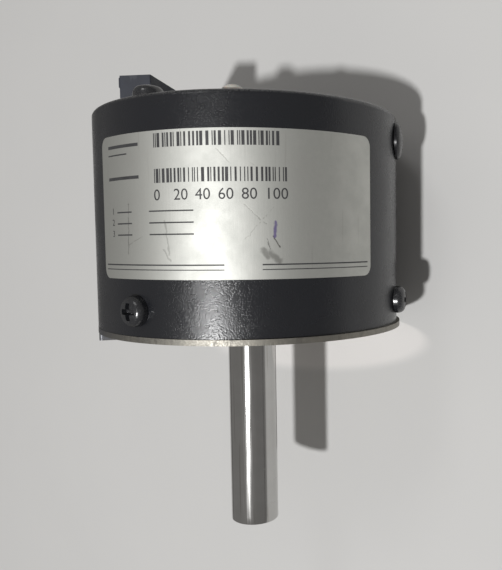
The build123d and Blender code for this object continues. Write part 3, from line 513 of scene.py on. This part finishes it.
# Cover screws: black-oxide pan heads with a cross recess. Driving has rubbed the oxide off in small spots.
black_oxide, tree, shader, place = new_material("black_oxide", IOR=1.75)
marks = use_group(tree, grain, {"Vector": place, "Fine": 2800.0, "Coarse": 620.0})
tone = mix_of(tree, marks["Blotch"], (0.0100, 0.0106, 0.0130, 1), (0.0150, 0.0156, 0.0180, 1))
sheen_and_wear = ramp_of(tree, marks["Height"], 0.60, 0.68)
tree.links.new(mix_of(tree, math_of(tree, "MULTIPLY", sheen_and_wear, 0.3), tone, (0.10, 0.10, 0.10, 1)),
               shader.inputs["Base Color"])
tree.links.new(ramp_of(tree, marks["Height"], 0.3, 0.7, 0.20, 0.32), shader.inputs["Roughness"])
bump(tree, shader, marks["Height"], 0.00002)
wear_finish([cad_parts["side_screws"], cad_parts["top_screws"]], black_oxide)

# Plugs: push-in nylon domes, a glossy black one over the side hole and a milky one over the top hole.
wear_finish([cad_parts["side_plug"]],
            plain_finish("black_plug", (0.010, 0.010, 0.012), (0.007, 0.007, 0.009), 0.22, 0.32, 1500.0, 300.0,
                         0.00002, IOR=1.5))
wear_finish([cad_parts["top_plug"]],
            plain_finish("pale_plug", (0.62, 0.61, 0.56), (0.50, 0.48, 0.43), 0.35, 0.5, 1700.0, 420.0, 0.00002,
                         Subsurface_Weight=0.15, Subsurface_Scale=0.002))

# Table: the pale surface on which the gauge lies on its side. It stands upright in the model's frame and
# just touches the can. From behind, and for shadow rays, it lets the light through.
table_angle = math.radians(62.9)
table_gap = 0.0396
table_half = 4.0
outward = np.array([math.cos(table_angle), math.sin(table_angle), 0.0])
sideways = np.array([-outward[1], outward[0], 0.0])
corners = np.array([outward * table_gap + sideways * a * table_half + np.array([0, 0, b * table_half])
                    for a, b in ((-1, -1), (-1, 1), (1, 1), (1, -1))])
table_mesh = bpy.data.meshes.new("table")
table_mesh.from_pydata(corners.tolist(), [], [(0, 1, 2, 3)])
table = bpy.data.objects.new("table", table_mesh)
bpy.context.scene.collection.objects.link(table)
table_paint, tree, shader, place = new_material("table_paint", Roughness=0.7)
tone = mix_of(tree, use_group(tree, grain, {"Vector": place, "Fine": 300.0, "Coarse": 9.0})["Blotch"],
              (0.590, 0.586, 0.576, 1), (0.606, 0.601, 0.590, 1))
# Under the base plate the table also gets the lamp's light that the plate throws back, painted into its colour as a
# lighter patch. Its line comes from the lamp's mirror image in the plate's plane; it crosses that plane inside the
# disc where the table is lit: crossing = place + (image - place) (plate - z) / (image z - z).
plate_low, plate_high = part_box("base_plate")
plate_plane = tube_step
plate_middle = (plate_low.x + plate_high.x) / 2
lamp_place = Vector((-0.2845, -1.2205, -0.2418))
lamp_image = (lamp_place.x, lamp_place.y, 2 * plate_plane - lamp_place.z)
below = math_of(tree, "SUBTRACT", plate_plane, add_node(tree, "SeparateXYZ", {0: place}).outputs[2])
to_image = add_node(tree, "VectorMath", {0: lamp_image, 1: place}, operation="SUBTRACT").outputs[0]
rise = math_of(tree, "ADD", below, lamp_image[2] - plate_plane)
crossing = add_node(tree, "VectorMath", {0: place, 1: add_node(tree, "VectorMath", {
    0: to_image, "Scale": math_of(tree, "DIVIDE", below, rise)}, operation="SCALE").outputs[0]},
    operation="ADD").outputs[0]
from_middle = add_node(tree, "VectorMath", {0: crossing, 1: (plate_middle, 0.0, plate_plane)},
                       operation="DISTANCE").outputs["Value"]
blur = math_of(tree, "MULTIPLY", math_of(tree, "MAXIMUM", below, 0.0), 0.35)
painted_plate_light = ramp_of(tree, from_middle, math_of(tree, "ADD", plate_high.x, blur),
                 math_of(tree, "SUBTRACT", plate_high.x, blur))
painted_plate_light = math_of(tree, "MULTIPLY", painted_plate_light, ramp_of(tree, below, 0.0, 0.001))
tone = mix_of(tree, painted_plate_light, tone, (0.740, 0.722, 0.705, 1))
# Painted reflection: in the gauge's polished parts, and only there, the pale surface turns darker a hand's width
# away, as painted shade in what they reflect.
reflection_reach = add_node(tree, "VectorMath", {0: add_node(tree, "VectorMath", {0: place, 1: (1.0, 1.0, 0.0)},
                                                        operation="MULTIPLY").outputs[0]},
                       operation="LENGTH").outputs["Value"]
painted_dark_reflection = math_of(tree, "MULTIPLY", ramp_of(tree, reflection_reach, 0.14, 0.22),
                   tree.nodes.new("ShaderNodeLightPath").outputs["Is Glossy Ray"])
tree.links.new(mix_of(tree, painted_dark_reflection, tone, (0.20, 0.197, 0.192, 1)), shader.inputs["Base Color"])
clear = tree.nodes.new("ShaderNodeBsdfTransparent").outputs[0]
through = math_of(tree, "MAXIMUM", tree.nodes.new("ShaderNodeNewGeometry").outputs["Backfacing"],
                  tree.nodes.new("ShaderNodeLightPath").outputs["Is Shadow Ray"])
mixed = add_node(tree, "MixShader", {0: through, 1: shader.outputs[0], 2: clear})
tree.links.new(mixed.outputs[0], tree.nodes["Material Output"].inputs["Surface"])
wear_finish([table], table_paint)

# Light: one small soft lamp before the table, low and to the left, a weak wide one above and to the
# left, and a dim room that is a little brighter to the right.
second_place = Vector((-0.264, -0.605, 0.628))
for name, lamp_at, size, energy in (("lamp", lamp_place, 0.067, 12.9), ("second_lamp", second_place, 0.20, 0.55)):
    lamp_data = bpy.data.lights.new(name, "AREA")
    lamp_data.shape = "DISK"
    lamp_data.size = size
    lamp_data.energy = energy
    lamp = bpy.data.objects.new(name, lamp_data)
    lamp.location = lamp_at
    lamp.rotation_mode = "QUATERNION"
    lamp.rotation_quaternion = (Vector((0, 0, 0.06)) - lamp_at).to_track_quat("-Z", "Y")
    bpy.context.scene.collection.objects.link(lamp)
world = bpy.data.worlds.new("room")
bpy.context.scene.world = world
world.use_nodes = True
tree = world.node_tree
seen = tree.nodes.new("ShaderNodeLightPath").outputs["Is Camera Ray"]
way = tree.nodes.new("ShaderNodeTexCoord").outputs["Generated"]
rightness = add_node(tree, "VectorMath", {0: way, 1: (1.0, 0.0, 0.0)}, operation="DOT_PRODUCT").outputs["Value"]
room = mix_of(tree, ramp_of(tree, rightness, -0.8, 0.8), (0.246, 0.240, 0.233, 1), (0.212, 0.207, 0.202, 1))
room = mix_of(tree, seen, room, (0.54, 0.535, 0.52, 1))
tree.links.new(room, tree.nodes["Background"].inputs["Color"])

# Camera: at the photograph's place, looking a little down the gauge's axis.
camera_data = bpy.data.cameras.new("camera")
camera_data.sensor_width = 36.0
camera_data.lens = 42.6
camera_data.shift_x = -0.1526
camera_data.shift_y = 0.0053
camera = bpy.data.objects.new("camera", camera_data)
forward = Vector((-0.11541, 0.99094, -0.06875)).normalized()
rightward = Vector((0.99332, 0.11505, -0.00928)).normalized()
upward = rightward.cross(forward)
camera.matrix_world = Matrix.Translation((0.04423, -0.17741, 0.07518)) @ Matrix(
    (rightward, upward, -forward)).transposed().to_4x4()
camera_data.clip_start = 0.01
bpy.context.scene.collection.objects.link(camera)
bpy.context.scene.camera = camera
bpy.context.scene.view_settings.view_transform = "Standard"
